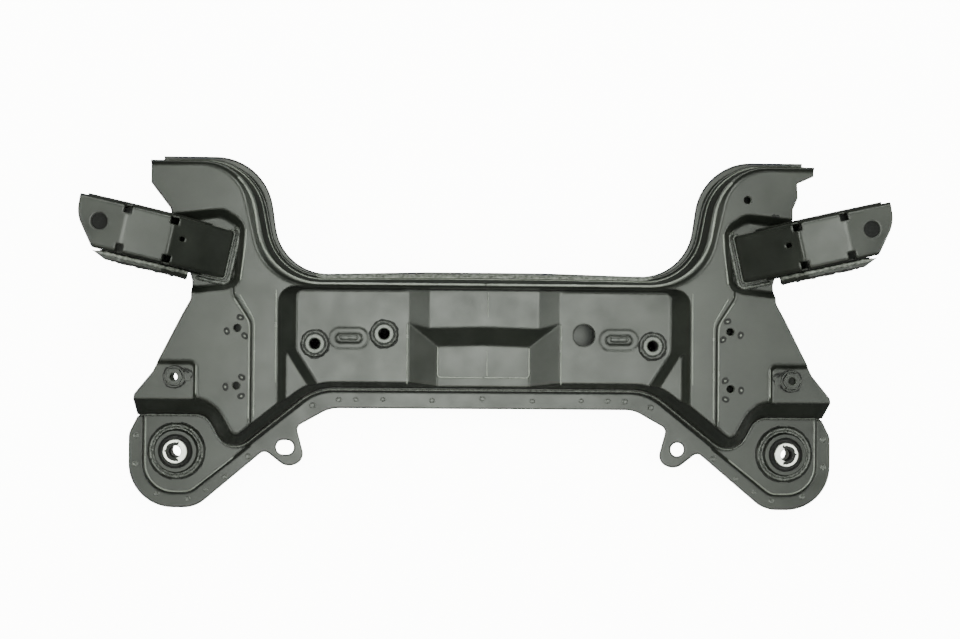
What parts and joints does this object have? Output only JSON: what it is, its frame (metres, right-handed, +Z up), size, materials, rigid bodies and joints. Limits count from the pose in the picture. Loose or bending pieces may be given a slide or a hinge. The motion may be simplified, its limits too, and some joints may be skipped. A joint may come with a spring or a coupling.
{
  "type": "subframe",
  "caption": "Pressed-steel front subframe with raised mounting horns, ears over open control arm pockets, rear lobes with rubber bushes and steering rack tubes.",
  "frame": {"origin": "middle of the length and width, at the height the underside rests on", "axes": "+X to the right horn, +Y to the front edge with the horns and ears, +Z up, away from the underside"},
  "size_m": [0.9466, 0.428, 0.165],
  "materials": {
    "ecoat": "satin black electro-coat on pressed steel",
    "bare_steel": "machined",
    "zinc_steel": "dull zinc plate",
    "rubber": "matt"
  },
  "bodies": {
    "root": {"upper_shell": "ecoat", "lower_shell": "ecoat", "rear_flange": "ecoat", "lobe_plate_left": "ecoat", "lobe_plate_right": "ecoat", "horn_upper_channel_left": "ecoat", "horn_upper_channel_right": "ecoat", "horn_lower_channel_left": "ecoat", "horn_lower_channel_right": "ecoat", "bush_housing_left": "ecoat", "bush_housing_right": "ecoat", "bush_outer_sleeve_left": "ecoat", "bush_outer_sleeve_right": "ecoat", "arm_nut_left": "ecoat", "arm_nut_right": "ecoat", "ear_nut_right": "ecoat", "rack_tube_welds": "ecoat", "pocket_web_left": "ecoat", "pocket_web_right": "ecoat", "stabiliser_nuts_left": "ecoat", "stabiliser_nuts_right": "ecoat", "arm_nut_cage_left": "ecoat", "arm_nut_cage_right": "ecoat", "bush_inner_sleeve_left": "bare_steel", "bush_inner_sleeve_right": "bare_steel", "rack_tube_outer_left": "zinc_steel", "rack_tube_outer_right": "zinc_steel", "rack_tube_inner_left": "zinc_steel", "bush_rubber_left": "rubber", "bush_rubber_right": "rubber"}
  },
  "joints": []
}
